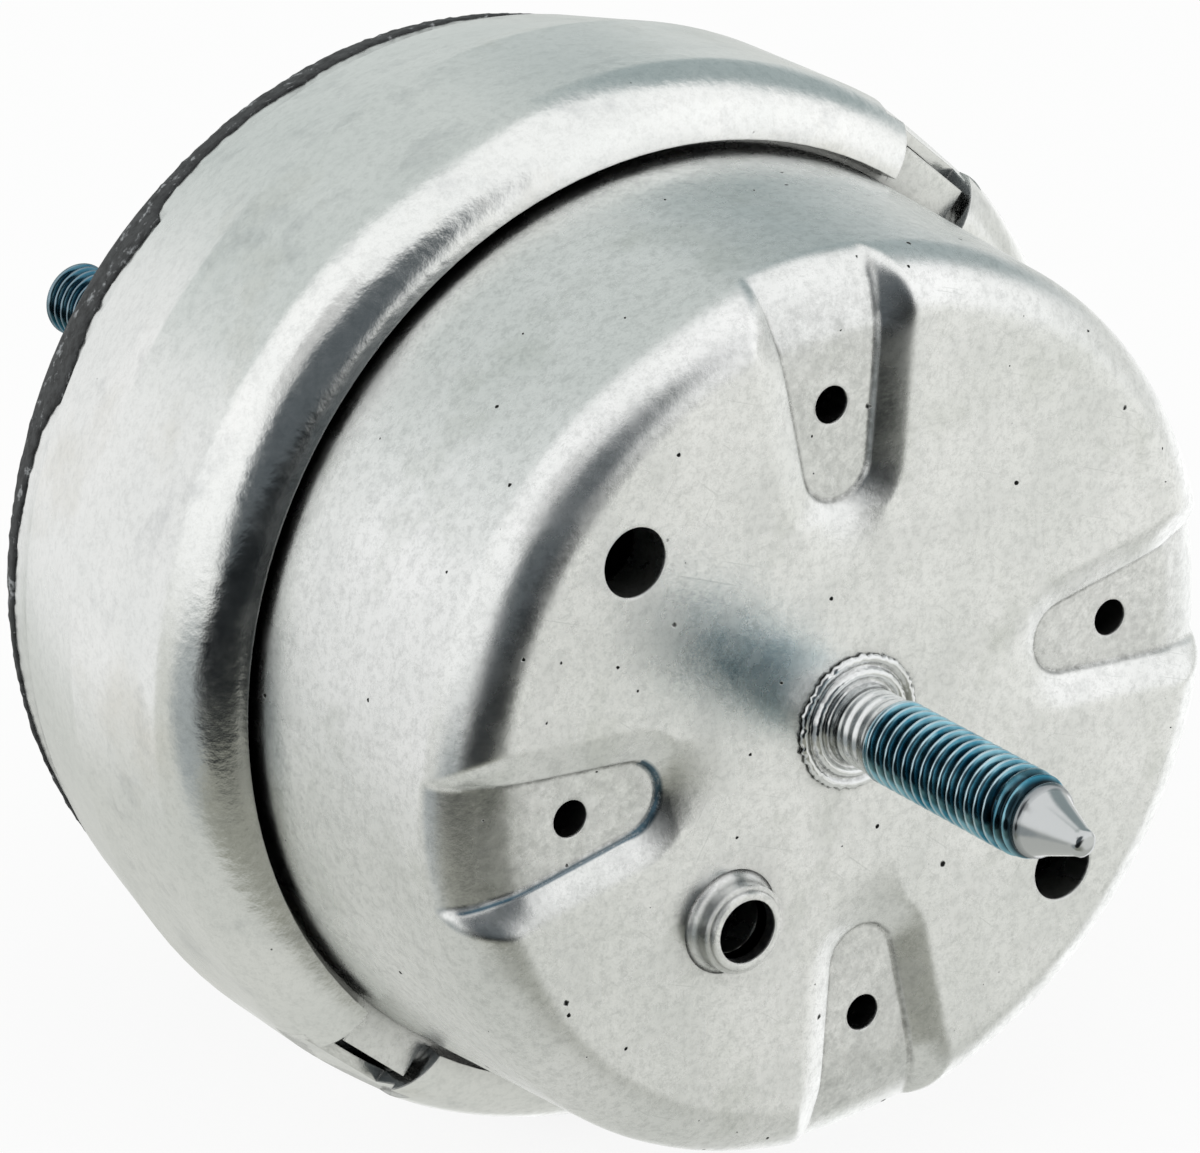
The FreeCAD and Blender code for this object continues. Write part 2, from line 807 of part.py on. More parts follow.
def makeDecoupler():
    body = newBody("decoupler_membrane")
    radius = size("cageRadius") - size("decouplerClear")
    bottom = plateMiddle + size("decouplerPlay")
    top = plateMiddle + size("cageDepth") - size("decouplerPlay")
    revolve(body, "Sheet", [(axis, bottom), (radius, bottom), (radius, top), (axis, top)])
    return body


ringFront = flangeBack - size("grooveDepth") / 2 - size("ringHeight") / 2
ringBack = ringFront + size("ringHeight")
ringInner = grooveInner + size("ringMargin")
ringOuter = grooveOuter - size("ringMargin")


def makeDiaphragm():
    body = newBody("diaphragm")
    wall = size("diaphragmWall")
    bevel = size("rollBevel")
    tight = bevel - wall * (2 - math.sqrt(2))
    bottom = size("rollBottom")
    inside = bottom + wall
    dome = size("domeTop")
    revolve(body, "Moulding", [
        (axis, dome - wall),
        (rollInner - wall - tight, dome - wall),
        (rollInner - wall, dome - wall - tight),
        (rollInner - wall, bottom + bevel),
        (rollInner - wall + bevel, bottom),
        (rollOuter - bevel, bottom),
        (rollOuter, bottom + bevel),
        (rollOuter, flangeBack - wall),
        (grooveInner, flangeBack - wall),
        (grooveInner, flangeBack - size("grooveDepth")),
        (grooveOuter, flangeBack - size("grooveDepth")),
        (grooveOuter, flangeBack),
        (rollOuter - wall, flangeBack),
        (rollOuter - wall, inside + tight),
        (rollOuter - wall - tight, inside),
        (rollInner + tight, inside),
        (rollInner, inside + tight),
        (rollInner, dome - bevel),
        (rollInner - bevel, dome),
        (axis, dome),
    ])
    groove = newSketch(body, "RingSpaceProfile", "XY_Plane")
    outline(groove, [(ringInner, ringFront), (ringOuter, ringFront),
                     (ringOuter, ringBack), (ringInner, ringBack)])
    space = body.newObject("PartDesign::Groove", "RingSpace")
    space.Profile = groove
    space.ReferenceAxis = (groove, ["V_Axis"])
    space.Angle = 360
    groove.Visibility = False
    checkCut(body, space)
    return body


def makeDiaphragmRing():
    body = newBody("diaphragm_ring")
    revolve(body, "Ring", [(ringInner, ringFront), (ringOuter, ringFront),
                           (ringOuter, ringBack), (ringInner, ringBack)])
    return body


bodies = [
    makeOuterShell(),
    makeBaseCup(),
    makeBaseStud(),
    makeCore(),
    makeCoreStud(),
    makeCorePin(),
    makeMainSpring(),
    makeLowerTrackPlate(),
    makeUpperTrackPlate(),
    makeDecoupler(),
    makeDiaphragm(),
    makeDiaphragmRing(),
]

doc.recompute()
for item in doc.Objects:
    if "Invalid" in item.State or "Error" in item.State:
        raise RuntimeError(item.Label + " failed: " + str(item.State))
os.makedirs("parts", exist_ok=True)
for body in bodies:
    shape = body.Shape
    if shape.isNull() or not shape.isValid():
        raise RuntimeError(body.Label + " is not a valid solid")
    shape.exportStep("parts/%s.step" % body.Label)
    print(body.Label, len(shape.Solids), "solid", round(shape.Volume), "mm3")
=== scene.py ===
import bpy
import bmesh
import math
from mathutils import Matrix, Vector, noise


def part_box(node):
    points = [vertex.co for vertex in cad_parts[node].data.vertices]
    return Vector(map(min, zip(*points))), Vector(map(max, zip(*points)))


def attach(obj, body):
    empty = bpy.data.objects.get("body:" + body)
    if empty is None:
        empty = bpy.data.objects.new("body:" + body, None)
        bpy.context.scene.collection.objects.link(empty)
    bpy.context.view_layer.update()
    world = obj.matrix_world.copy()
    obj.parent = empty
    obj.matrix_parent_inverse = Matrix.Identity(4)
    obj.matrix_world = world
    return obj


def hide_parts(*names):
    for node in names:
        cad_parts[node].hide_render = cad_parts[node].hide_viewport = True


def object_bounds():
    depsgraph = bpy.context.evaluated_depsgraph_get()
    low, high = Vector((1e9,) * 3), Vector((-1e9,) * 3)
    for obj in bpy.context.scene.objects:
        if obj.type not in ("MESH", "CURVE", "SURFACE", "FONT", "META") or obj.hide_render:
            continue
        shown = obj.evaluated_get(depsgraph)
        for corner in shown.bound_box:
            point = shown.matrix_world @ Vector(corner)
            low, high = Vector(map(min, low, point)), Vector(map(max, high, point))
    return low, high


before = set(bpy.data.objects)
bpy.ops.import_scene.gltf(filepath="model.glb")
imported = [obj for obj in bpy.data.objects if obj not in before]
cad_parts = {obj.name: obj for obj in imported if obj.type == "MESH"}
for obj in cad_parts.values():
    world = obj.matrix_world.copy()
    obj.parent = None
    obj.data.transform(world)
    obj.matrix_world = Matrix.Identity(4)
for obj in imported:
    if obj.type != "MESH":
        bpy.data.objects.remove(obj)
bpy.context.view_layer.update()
mm = 0.001
weldDistance = 1e-6
axisGap = 0.001        # a cutter stops this many millimetres from its own axis
white = (1, 1, 1, 1)


def toLinear(hexColor, level=1.0):
    # sRGB hex to the linear values that shaders use, brightened by a level
    values = [int(hexColor[i:i + 2], 16) / 255 for i in (1, 3, 5)]
    linear = [v / 12.92 if v <= 0.04045 else ((v + 0.055) / 1.055) ** 2.4 for v in values]
    return [v * level for v in linear] + [1.0]


def addNode(tree, kind, settings=None, inputs=()):
    # one node with its properties; an input, by name or in order, is a value or a socket
    node = tree.nodes.new(kind)
    for name, value in (settings or {}).items():
        setattr(node, name, value)
    for name, value in (inputs.items() if isinstance(inputs, dict) else enumerate(inputs)):
        if isinstance(value, bpy.types.NodeSocket):
            tree.links.new(value, node.inputs[name])
        else:
            node.inputs[name].default_value = value
    return node


def emptyTree(owner):
    # the node tree of a material or a world, with nothing in it yet
    owner.use_nodes = True
    owner.node_tree.nodes.clear()
    return owner.node_tree


def newMaterial(name):
    material = bpy.data.materials.new(name)
    tree = emptyTree(material)
    place = addNode(tree, "ShaderNodeTexCoord").outputs["Object"]
    return material, tree, place


def cloudMask(tree, place, look):
    # a look is a finished value, or noise: the size of its blobs in millimetres (a cell of
    # noise holds two), its detail and its roughness, then the range of it that counts and
    # the strengths at both ends
    if not isinstance(look, tuple):
        return look
    grain, detail, roughness, *ends = look
    blobs = addNode(tree, "ShaderNodeTexNoise", inputs={
        "Vector": place, "Scale": 0.5 / (grain * mm), "Detail": detail, "Roughness": roughness})
    return addNode(tree, "ShaderNodeMapRange", inputs=[blobs.outputs["Fac"], *ends]).outputs[0]


def paintCoats(tree, place, color, coats):
    # lays coats over a colour, each where all of its looks are strong
    color = toLinear(color)
    for coatColor, *looks in coats:
        cover = 1.0
        for look in looks:
            cover = addNode(tree, "ShaderNodeMath", {"operation": "MULTIPLY"},
                            [cloudMask(tree, place, look), cover]).outputs[0]
        color = addNode(tree, "ShaderNodeMix", {"data_type": "RGBA"},
                        {0: cover, 6: color, 7: toLinear(coatColor)}).outputs[2]
    return color


def addUp(tree, place, parts):
    # the sum of some looks, each times its weight
    total = 0.0
    for look, weight in parts:
        total = addNode(tree, "ShaderNodeMath", {"operation": "MULTIPLY_ADD"},
                        [cloudMask(tree, place, look), weight, total]).outputs[0]
    return total


pitSettings = {
    "grain": 0.5,          # the noise that makes a pit's outline irregular, and by how much
    "detail": 2,
    "wobble": 0.35,
    "steepness": 40.0,     # of the pit's wall
}


def pitMask(tree, place, spacing, largest, share):
    # irregular pits: one spot in some of the cells, each of its own size, in millimetres
    p = pitSettings
    wobble = addNode(tree, "ShaderNodeTexNoise", inputs={
        "Vector": place, "Scale": 1 / (p["grain"] * mm), "Detail": p["detail"]})
    shifted = addNode(tree, "ShaderNodeVectorMath", {"operation": "MULTIPLY_ADD"},
                      [wobble.outputs["Color"], [p["wobble"] * mm] * 3, place]).outputs[0]
    cells = addNode(tree, "ShaderNodeTexVoronoi",
                    inputs={"Vector": shifted, "Scale": 1 / (spacing * mm)})
    pick = addNode(tree, "ShaderNodeSeparateColor", inputs=[cells.outputs["Color"]])
    size = addNode(tree, "ShaderNodeMapRange",
                   inputs=[pick.outputs[0], 1 - share, 1.0, 0.0, largest / spacing]).outputs[0]
    inside = addNode(tree, "ShaderNodeMath", {"operation": "SUBTRACT"},
                     [size, cells.outputs["Distance"]]).outputs[0]
    return addNode(tree, "ShaderNodeMath", {"operation": "MULTIPLY", "use_clamp": True},
                   [inside, p["steepness"]]).outputs[0]


# each range of what is measured has the strengths at its ends behind it
edgeSettings = {
    "rays": 2,             # rays that a sample spends on an edge or a gap
    # painted highlight on rounded edges, also standing for wear rubbed bright: where the rounded
    # edge leans from the face
    "rubbedAndHighlit": (0.985, 0.9, 0, 0.45),     # how far the rounded edge leans from the face
    "highlightAndRubbedColor": "#FCFCFA",
    "gapReach": 4.0,       # what stands within this distance closes a gap in
    # painted shade with grime in corners and gaps, by how open each place is
    "grime": (0.3, 0.58, 1, 0),
    "grimeColor": "#5B5853",
    # painted shade: gaps painted nearly black
    "gapShade": (0.13, 0.35, 1, 0),
    "gapShadeColor": "#0E0F0E",
}


def gapMasks(tree, reach, *ranges):
    # how open a place is: 0 deep in a gap or corner, where grime and painted shade go, and 1 in
    # the open
    openness = addNode(tree, "ShaderNodeAmbientOcclusion", {"samples": edgeSettings["rays"]},
                       {"Distance": reach * mm}).outputs["AO"]
    return [addNode(tree, "ShaderNodeMapRange", inputs=[openness, *ends]).outputs[0]
            for ends in ranges]


def edgeWearAndPaintedLight(tree, radius):
    # the small rounding that every cast or pressed edge has, as a normal, and three coats:
    # edges painted bright, a painted highlight that also stands for rubbed wear, grime with
    # painted shade in the corners, and painted shade in gaps that no light leaves
    e = edgeSettings
    rounded = addNode(tree, "ShaderNodeBevel", {"samples": e["rays"]},
                      {"Radius": radius * mm}).outputs[0]
    flat = addNode(tree, "ShaderNodeNewGeometry").outputs["Normal"]
    lean = addNode(tree, "ShaderNodeVectorMath", {"operation": "DOT_PRODUCT"}, [flat, rounded])
    rubbedAndHighlit = addNode(tree, "ShaderNodeMapRange", inputs=[lean.outputs["Value"], *e["rubbedAndHighlit"]])
    grime, gapShade = gapMasks(tree, e["gapReach"], e["grime"], e["gapShade"])
    return rounded, [(e["highlightAndRubbedColor"], rubbedAndHighlit.outputs[0]), (e["grimeColor"], grime),
                     (e["gapShadeColor"], gapShade)]


def addShader(tree, surface, height=None, bump=None, normal=None):
    # the surface itself; a bump is its strength and its height in millimetres
    if bump:
        strength, depth = bump
        inputs = {"Strength": strength, "Distance": depth * mm, "Height": height}
        if normal:
            inputs["Normal"] = normal
        surface["Normal"] = addNode(tree, "ShaderNodeBump", inputs=inputs).outputs[0]
    shader = addNode(tree, "ShaderNodeBsdfPrincipled", inputs=surface)
    addNode(tree, "ShaderNodeOutputMaterial", inputs={"Surface": shader.outputs[0]})


castSettings = {
    "dull": "#E7E9E7",
    "coats": [
        ("#F3F4F3", (9, 4, 0.5, 0.35, 0.65)),
        ("#C6CAC3", (5, 7, 0.65, 0.55, 0.75, 0, 0.55)),      # grime
        ("#939795", (0.5, 7, 0.85, 0.38, 0.54, 0.3, 0)),     # hollows of the sandy skin
    ],
    "padRimDirtAndShadeColor": "#5A5C58",     # dirt and painted shade round the pads' floors, broken up
    "rimBroken": (0.6, 4, 0.7, 0.38, 0.6, 0.1, 0.75),
    # painted reflection: a bluish line on the lowest pad's side
    "reflectionColor": "#0A4A60",
    "reflectionBand": (0.1, 0.7, 0, 0.9),
    "scuffColor": "#C9CCCA",
    "scuff": (0.12, 1, 0.5, 0.71, 0.78, 0, 0.45),
    "scuffs": [(0.6, 40.0), (-0.8, 26.0), (2.0, 60.0)],      # turn about +Y and length
    "pitColor": "#242625",
    "pits": [(4.6, 0.46, 0.4), (1.9, 0.24, 0.24)],           # spacing, largest size and share
    "pitDepth": 3.0,
    "pitRoughness": 0.4,
    # painted shade in inner corners
    "cornerShadeColor": "#6E716D",
    "cornerShadeReach": 0.9,
    "corner": (0.35, 0.8, 0.5, 0),
    "edge": 0.4,
    "roughness": (3, 5, 0.6, 0.3, 0.7, 0.2, 0.33),
    "skin": [((0.7, 6, 0.75), 1.5), ((4, 2, 0.5), 3.0)],
    "bump": (0.35, 0.05),
}


def castAluminium():
    # die-cast aluminium, faced and tumbled: pale and half matte with soft wide reflections,
    # open pores, rubbed scratches and a little grime, with painted shade in the corners and round
    # the pads, painted highlights on the edges and a painted reflection on one pad's side
    material, tree, place = newMaterial("castAluminium")
    c = castSettings
    # dirt and painted shade round the pads' floors
    rim = addNode(tree, "ShaderNodeAttribute", {"attribute_name": "rim"}).outputs["Fac"]
    # painted reflection on the lowest pad's side
    bluishReflection = addNode(tree, "ShaderNodeAttribute", {"attribute_name": "bluishReflection"}).outputs["Fac"]
    reflectionBand = addNode(tree, "ShaderNodeMapRange", inputs=[bluishReflection, *c["reflectionBand"]]).outputs[0]
    scuffs = pits = 0.0
    for turn, length in c["scuffs"]:
        drawn = addNode(tree, "ShaderNodeMapping", {"vector_type": "TEXTURE"}, {
            "Vector": place, "Rotation": (0, turn, 0), "Scale": (1, 1, length)}).outputs[0]
        scuffs = addNode(tree, "ShaderNodeMath", {"operation": "MAXIMUM"},
                         [cloudMask(tree, drawn, c["scuff"]), scuffs]).outputs[0]
    for spots in c["pits"]:
        pits = addNode(tree, "ShaderNodeMath", {"operation": "MAXIMUM"},
                       [pitMask(tree, place, *spots), pits]).outputs[0]
    # painted shade in the inner corners, by how open each place is
    corner, = gapMasks(tree, c["cornerShadeReach"], c["corner"])
    rounded, wearAndPaintedLight = edgeWearAndPaintedLight(tree, c["edge"])
    coats = c["coats"] + [
        (c["padRimDirtAndShadeColor"], rim, c["rimBroken"]),
        (c["reflectionColor"], reflectionBand),
        (c["scuffColor"], scuffs),
        (c["pitColor"], pits),
        (c["cornerShadeColor"], corner),
    ] + wearAndPaintedLight
    addShader(tree, {
        "Base Color": paintCoats(tree, place, c["dull"], coats),
        "Metallic": 1,
        "Roughness": addUp(tree, place, [(c["roughness"], 1.0), (pits, c["pitRoughness"])]),
    }, addUp(tree, place, c["skin"] + [(pits, -c["pitDepth"])]), c["bump"], rounded)
    return material


drawnSettings = {
    "dull": "#ECEEEC",
    "coats": [
        ("#F4F5F3", (7, 5, 0.5, 0.35, 0.65)),
        ("#D5D2C6", (11, 5, 0.6, 0.55, 0.75, 0, 0.6)),       # stains
        ("#A9ADAF", (3.2, 6, 0.65, 0.56, 0.7, 0, 0.32)),     # smears
        ("#9FA3A1", (0.5, 7, 0.85, 0.38, 0.54, 0.2, 0)),
    ],
    "speckColor": "#4A4B49",
    "specks": (2.6, 0.2, 0.16),
    "edge": 0.25,
    "rolledTo": 38.0,      # the rim in front of this place was rolled over and is mottled
    "rolledFade": 3.0,
    "rolledGloss": 0.03,
    "crushed": (0.6, 3, 0.6, 0, 1, 0, 1.4),
    "roughness": (2, 5, 0.65, 0.3, 0.7, 0.15, 0.28),
    "skin": [((5, 2, 0.5), 3.0), ((0.4, 3, 0.5), 0.25)],
    "bump": (0.45, 0.06),
}


def drawnAluminium():
    # drawn aluminium sheet with a rolled rim: bright satin, slight waves, and a mottled,
    # crushed skin where the rim was rolled
    material, tree, place = newMaterial("drawnAluminium")
    d = drawnSettings
    along = addNode(tree, "ShaderNodeSeparateXYZ", inputs=[place]).outputs["Y"]
    rolled = addNode(tree, "ShaderNodeMapRange", {"interpolation_type": "SMOOTHSTEP"},
                     [along, (d["rolledTo"] + d["rolledFade"]) * mm,
                      (d["rolledTo"] - d["rolledFade"]) * mm]).outputs[0]
    crushed = addNode(tree, "ShaderNodeMath", {"operation": "MULTIPLY"},
                      [cloudMask(tree, place, d["crushed"]), rolled]).outputs[0]
    specks = pitMask(tree, place, *d["specks"])
    rounded, wearAndPaintedLight = edgeWearAndPaintedLight(tree, d["edge"])
    addShader(tree, {
        "Base Color": paintCoats(tree, place, d["dull"],
                                 d["coats"] + [(d["speckColor"], specks)] + wearAndPaintedLight),
        "Metallic": 1,
        "Roughness": addUp(tree, place, [(d["roughness"], 1.0), (rolled, -d["rolledGloss"])]),
    }, addUp(tree, place, d["skin"] + [(crushed, 1.0)]), d["bump"], rounded)
    return material


zincSettings = {
    "deepBlue": "#3B8199",
    "coats": [("#8FC0CE", (1.5, 4, 0.5, 0.35, 0.65))],
    # coats by place: from and to in millimetres out from the axis or along it, and strengths
    "bands": [
        ("#0C1822", ("outward", 3.35, 3.75, 0.92, 0)),       # painted shade in the roots
        ("#DCE9ED", ("outward", 3.8, 3.9, 0, 0.6)),          # painted highlight on the crests
        ("#1D4058", ("along", 60, 61, 0, 0.55)),             # thicker film on the core's stud
        # the plating is worn off from the seat to the thread, and off the tip
        ("#E6E8E8", ("along", -5.6, -6.1, 1, 0), ("along", 60, 61, 1, 0)),
        ("#E6E8E8", ("along", -25.9, -26.9, 0, 0.7)),
    ],
    "gritAndShadeColor": "#2F312F",    # grit and painted shade in the collar's grooves
    "grooveShadeReach": 0.7,
    "grooveShadeRange": (0.45, 0.9, 1, 0),
    "grit": (0.35, 4, 0.7, 0.4, 0.55, 0.25, 1.0),
    "roughness": (0.3, 3, 0.5, 0.3, 0.7, 0.07, 0.2),
    "grain": (0.3, 3, 0.5),
    "bump": (0.2, 0.02),
}


def zincPlate():
    # rolled steel thread, blue-passivated zinc plate: glossy and cool, rubbed bare at the seat
    material, tree, place = newMaterial("zincPlate")
    z = zincSettings
    flat = addNode(tree, "ShaderNodeVectorMath", {"operation": "MULTIPLY"}, [place, (1, 0, 1)])
    places = {
        "along": addNode(tree, "ShaderNodeSeparateXYZ", inputs=[place]).outputs["Y"],
        "outward": addNode(tree, "ShaderNodeVectorMath", {"operation": "LENGTH"},
                           [flat.outputs[0]]).outputs["Value"],
    }
    coats = list(z["coats"])
    for color, *ranges in z["bands"]:
        coats.append([color] + [
            addNode(tree, "ShaderNodeMapRange",
                    inputs=[places[where], start * mm, end * mm, *strengths]).outputs[0]
            for where, start, end, *strengths in ranges])
    # grit and painted shade in the collar's grooves, broken up by noise
    grooves, = gapMasks(tree, z["grooveShadeReach"], z["grooveShadeRange"])
    coats.append((z["gritAndShadeColor"], grooves, z["grit"]))
    addShader(tree, {
        "Base Color": paintCoats(tree, place, z["deepBlue"], coats),
        "Metallic": 1,
        "Roughness": cloudMask(tree, place, z["roughness"]),
    }, cloudMask(tree, place, z["grain"]), z["bump"])
    return material


def plainFinish(name, p):
    material, tree, place = newMaterial(name)
    addShader(tree, {
        "Base Color": paintCoats(tree, place, p["color"], p["coats"]),
        "Metallic": p["metallic"],
        "Roughness": cloudMask(tree, place, p["roughness"]),
    }, cloudMask(tree, place, p.get("grain")), p.get("bump"))
    return material


# oiled spring steel: dark grey, half glossy
springSteel = {
    "color": "#55575A",
    "coats": [("#77797C", (1.2, 3, 0.5, 0.35, 0.65))],
    "metallic": 1,
    "roughness": (1.2, 3, 0.5, 0.35, 0.65, 0.28, 0.4),
}

# moulded natural rubber, carbon black: nearly matte, fine grain, a dusty bloom
springRubber = {
    "color": "#1D1E20",
    "coats": [
        ("#2F3133", (0.4, 4, 0.6, 0.35, 0.65)),
        ("#4A4C4D", (6, 5, 0.6, 0.5, 0.8, 0, 0.4)),
    ],
    "metallic": 0,
    "roughness": (0.4, 4, 0.6, 0.3, 0.7, 0.5, 0.68),
    "grain": (0.4, 4, 0.6),
    "bump": (0.3, 0.08),
}

# rubber flash torn at the mould's parting line: crumbly, dark, with dusty grey crumbs
flashRubber = {
    "color": "#161718",
    "coats": [
        ("#3C3E3F", (0.45, 4, 0.7, 0.3, 0.6)),
        ("#A3A6A8", (0.8, 5, 0.75, 0.57, 0.66, 0, 0.85)),
    ],
    "metallic": 0,
    "roughness": 0.7,
    "grain": (0.45, 4, 0.7),
    "bump": (0.6, 0.15),
}

materials = {
    "cast": castAluminium(),
    "drawn": drawnAluminium(),
    "zinc": zincPlate(),
    "steel": plainFinish("springSteel", springSteel),
    "rubber": plainFinish("springRubber", springRubber),
    "flash": plainFinish("flashRubber", flashRubber),
}
print("materials made")


dressing = {
    "outer_shell": "drawn",
    "base_cup": "cast",
    "core": "cast",
    "core_pin": "steel",
    "main_spring": "rubber",
    "lower_track_plate": "cast",
    "upper_track_plate": "cast",
    "decoupler_membrane": "rubber",
    "diaphragm": "rubber",
    "diaphragm_ring": "steel",
}
sharpFrom = math.radians(22)       # an edge at a wider angle than this stays sharp


def smoothGroup():
    # rounds the shading of turned faces
    group = bpy.data.node_groups.new("roundShading", "GeometryNodeTree")
    for way in ("INPUT", "OUTPUT"):
        group.interface.new_socket("Geometry", in_out=way, socket_type="NodeSocketGeometry")
    start = addNode(group, "NodeGroupInput")
    weld = addNode(group, "GeometryNodeMergeByDistance", inputs={
        "Geometry": start.outputs[0], "Distance": weldDistance})
    faces = addNode(group, "GeometryNodeSetShadeSmooth", {"domain": "FACE"}, {
        "Geometry": weld.outputs[0], "Shade Smooth": True})
    angle = addNode(group, "GeometryNodeInputMeshEdgeAngle").outputs["Unsigned Angle"]
    sharp = addNode(group, "FunctionNodeCompare",
                    {"data_type": "FLOAT", "operation": "GREATER_THAN"},
                    {"A": angle, "B": sharpFrom})
    edges = addNode(group, "GeometryNodeSetShadeSmooth", {"domain": "EDGE"}, {
        "Geometry": faces.outputs[0], "Selection": sharp.outputs[0], "Shade Smooth": False})
    addNode(group, "NodeGroupOutput", inputs={"Geometry": edges.outputs[0]})
    return group


rounding = smoothGroup()


def dress(piece, material):
    piece.data.materials.clear()
    piece.data.materials.append(material)
    soften = piece.modifiers.new("roundShading", "NODES")
    soften.node_group = rounding
    even = piece.modifiers.new("evenNormals", "WEIGHTED_NORMAL")
    even.mode = "FACE_AREA"
    even.keep_sharp = True


for node, finish in dressing.items():
    dress(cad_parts[node], materials[finish])
print("frame pieces dressed")


def addObject(name, data):
    item = bpy.data.objects.new(name, data)
    bpy.context.scene.collection.objects.link(item)
    return item


def addPiece(name, points, faces, finish):
    mesh = bpy.data.meshes.new(name)
    mesh.from_pydata(points, [], faces)
    mesh.validate()
    mesh.polygons.foreach_set("use_smooth", [True] * len(mesh.polygons))
    mesh.materials.append(materials[finish])
    piece = addObject(name, mesh)
    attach(piece, "root")
    return piece


def softer(value):
    # keeps a share from 0 to 1 and eases it in and out
    value = min(1.0, max(0.0, value))
    return value * value * (3 - 2 * value)


def between(places, where):
    # straight lines between places and their values
    for (first, near), (second, far) in zip(places, places[1:]):
        if where <= second:
            return near + (far - near) * (where - first) / (second - first)
    return places[-1][1]


def evenAngles(count):
    return [2 * math.pi * step / count for step in range(count)]


def around(radius, angle, along):
    # a place at this radius and angle round the axis, from +Z towards +X, in millimetres
    return (radius * math.sin(angle) * mm, along * mm, radius * math.cos(angle) * mm)


def ringFaces(rows, count, closed=True):
    # the faces between rings of points; in a closed body the last ring meets the first
    faces = []
    for row in range(rows if closed else rows - 1):
        after = (row + 1) % rows
        for step in range(count):
            following = (step + 1) % count
            faces.append((row * count + step, row * count + following,
                          after * count + following, after * count + step))
    return faces


threadSettings = {
    "pitch": 1.25,
    "crest": 0.12,         # shares of the pitch that the flats at crest and root take
    "root": 0.22,
    "roundness": 0.35,     # how much the flanks ease into both
    "steps": 14,           # rings in one pitch
    "around": 112,         # points in one ring
}

burrSettings = {
    "teeth": 61,           # serrations round the pressed collar
    "shift": 2.4,          # how unevenly they stand, and how often that changes
    "shifts": 7,
    "tooth": 0.6,          # share of the burr's height, and where the valleys are cut off
    "valley": -0.3,
    "grain": 2.2,          # grain of the torn metal, and where its noise is taken from
    "noiseRadius": 60,
    "noiseStretch": 6,
}


def threadCut(along, angle):
    # how deep a right-hand thread cuts at this place, from 0 at the crest to 1 at the root
    t = threadSettings
    turn = (along / t["pitch"] - angle / (2 * math.pi)) % 1.0
    height = abs(turn - 0.5) * 2
    cut = (1 - t["crest"] - height) / (1 - t["crest"] - t["root"])
    cut = min(1.0, max(0.0, cut))
    return softer(cut) * t["roundness"] + cut * (1 - t["roundness"])


def studRadius(ring, angle):
    # a ring is its place, its radius, its thread depth and the height of its burrs
    along, radius, depth, burr = ring
    if depth:
        radius -= depth * threadCut(along, angle)
    if burr:
        b = burrSettings
        teeth = math.sin(angle * b["teeth"] + b["shift"] * math.sin(angle * b["shifts"]))
        where = Vector(around(b["noiseRadius"], angle, along * b["noiseStretch"]))
        ragged = noise.noise(where / (b["grain"] * mm))
        radius += burr * (max(b["valley"], teeth) * b["tooth"] + ragged)
    return radius


def threadRings(start, end, radius, depth, fade):
    # rings of a threaded length; the depth fades in and out over the fade length
    step = threadSettings["pitch"] / threadSettings["steps"]
    count = max(2, round(abs(end - start) / step))
    rings = []
    for index in range(count + 1):
        along = start + (end - start) * index / count
        edge = min(abs(along - start), abs(along - end))
        rings.append((along, radius, depth * min(1.0, edge / fade), 0))
    return rings


def plainRings(places):
    return [(along, radius, 0, 0) for along, radius in places]


def studPiece(name, rings):
    # rings run from one end of the axis to the other; both ends close on the axis
    count = threadSettings["around"]
    points = [around(studRadius(ring, angle), angle, ring[0])
              for ring in rings for angle in evenAngles(count)]
    faces = ringFaces(len(rings), count, closed=False)
    first = len(points)
    points.append((0, rings[0][0] * mm, 0))
    points.append((0, rings[-1][0] * mm, 0))
    lastRing = (len(rings) - 1) * count
    for step in range(count):
        following = (step + 1) % count
        faces.append((first, following, step))
        faces.append((first + 1, lastRing + step, lastRing + following))
    return addPiece(name, points, faces, "zinc")


baseStudSettings = {
    "head": [(10.6, 7.9), (10.3, 8.4), (8.05, 8.4), (8.0, 5.97), (0.1, 5.97)],
    # pressed collar: a burred outer ring, a groove and a second ring round the neck
    "collar": [(-0.02, 6.3, 0.22), (-0.26, 6.3, 0.3), (-0.46, 6.1, 0.26), (-0.52, 5.84, 0.16),
               (-0.36, 5.58, 0.05), (-0.22, 5.36, 0), (-0.28, 5.16, 0), (-0.62, 5.06, 0.08),
               (-0.84, 4.86, 0.12), (-0.88, 4.58, 0.08), (-0.7, 4.34, 0), (-0.5, 4.12, 0),
               (-0.60, 3.86, 0), (-0.82, 3.68, 0), (-1.9, 3.62, 0)],
    # start, end, radius, depth and the length over which the depth fades
    "runOut": (-1.95, -5.75, 3.7, 0.2, 0.6),
    "thread": (-5.95, -24.15, 3.93, 0.74, 0.5),
    "threadOpen": 5,       # rings left off, as the last turns carry the thread on
    "lastTurns": {
        "start": -24.2,
        "end": -26.4,
        "radius": 3.9,
        "endRadius": 3.35,
        "depth": 0.7,
        "rings": 25,
        "taper": 1.6,
        "fading": 0.7,
    },
    "tip": [(-26.5, 3.22), (-26.75, 3.02), (-28.4, 2.38), (-31.2, 1.36), (-31.45, 1.3),
            (-31.8, 1.24), (-32.05, 1.05), (-32.17, 0.75), (-32.2, 0.35)],
}


